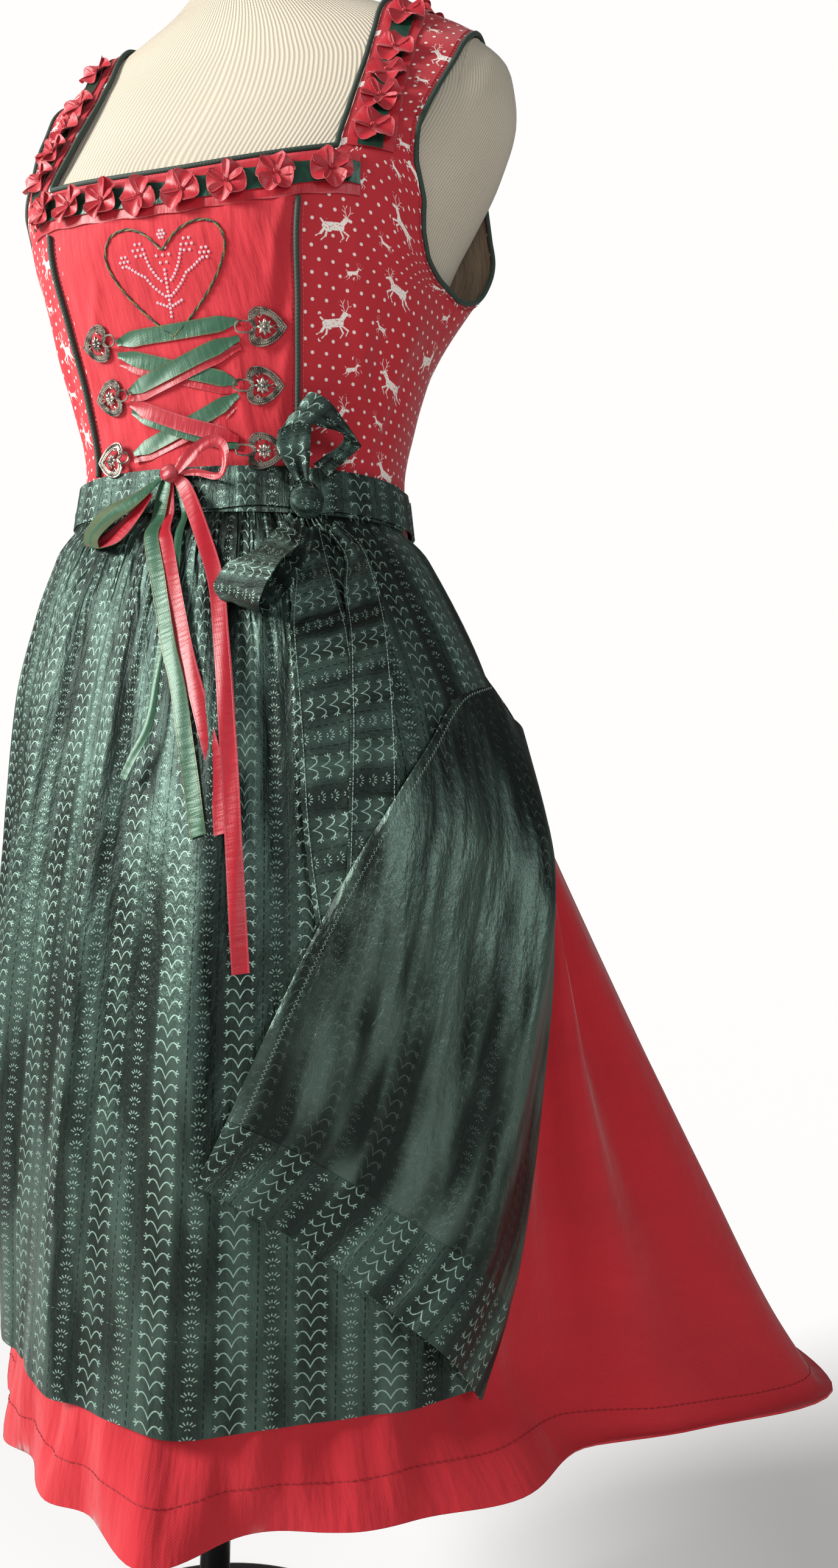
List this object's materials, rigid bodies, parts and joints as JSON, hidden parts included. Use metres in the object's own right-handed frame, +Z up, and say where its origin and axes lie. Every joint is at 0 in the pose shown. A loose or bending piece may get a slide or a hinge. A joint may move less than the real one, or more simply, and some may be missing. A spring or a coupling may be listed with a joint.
{
  "type": "dirndl on a dress form",
  "caption": "Dirndl with laced bodice, ruched square neck trim, long skirt pulled out to one side and an apron with a turned-over corner, on a limbless dress form with a round base.",
  "frame": {"origin": "middle of the stand's base at its underside, on the floor", "axes": "+Z up along the stand's pole; the dress faces -Y and the wearer's left is +X"},
  "size_m": [0.7036, 0.5199, 1.5563],
  "materials": {
    "printed_cotton": "red cotton sateen with a small white print of dots and leaping stags",
    "plain_cotton": "plain red cotton",
    "apron_jacquard": "dark green satin jacquard with mint figures, soft sheen",
    "piping": "dark green corded piping",
    "satin_red": "red satin ribbon",
    "satin_green": "green satin ribbon",
    "old_silver": "old-silver coloured cast filigree",
    "form_jersey": "ivory ribbed jersey cover",
    "black_steel": "satin black powder coat",
    "beech": "clear-varnished beech"
  },
  "bodies": {
    "root": {"apron": "apron_jacquard", "apron_band": "apron_jacquard", "armhole_piping_left": "piping", "armhole_piping_right": "piping", "back_panel": "printed_cotton", "bow_knot": "apron_jacquard", "bow_loop_lower": "apron_jacquard", "bow_loop_upper": "apron_jacquard", "form_neck_cap": "beech", "form_plinth": "beech", "form_torso": "form_jersey", "front_panel": "plain_cotton", "hook_left_1": "old_silver", "hook_left_2": "old_silver", "hook_left_3": "old_silver", "hook_right_1": "old_silver", "hook_right_2": "old_silver", "hook_right_3": "old_silver", "lace_1_down": "satin_green", "lace_1_up": "satin_green", "lace_2_down": "satin_red", "lace_2_up": "satin_green", "lace_knot": "satin_red", "lace_loop_left": "satin_red", "lace_loop_right": "satin_green", "lace_tail_green": "satin_green", "lace_tail_green_thin": "satin_green", "lace_tail_red": "satin_red", "lace_tail_red_short": "satin_red", "lace_top": "satin_green", "neck_piping": "piping", "seam_piping_left": "piping", "seam_piping_right": "piping", "side_front_left": "printed_cotton", "side_front_right": "printed_cotton", "skirt": "plain_cotton", "stand_base": "black_steel", "stand_pole": "black_steel", "tie_tail_back": "apron_jacquard", "tie_tail_front": "apron_jacquard", "tie_wrap_left": "apron_jacquard", "tie_wrap_right": "apron_jacquard", "trim_front": "satin_red", "trim_strap_left": "satin_red", "trim_strap_right": "satin_red"}
  },
  "joints": []
}
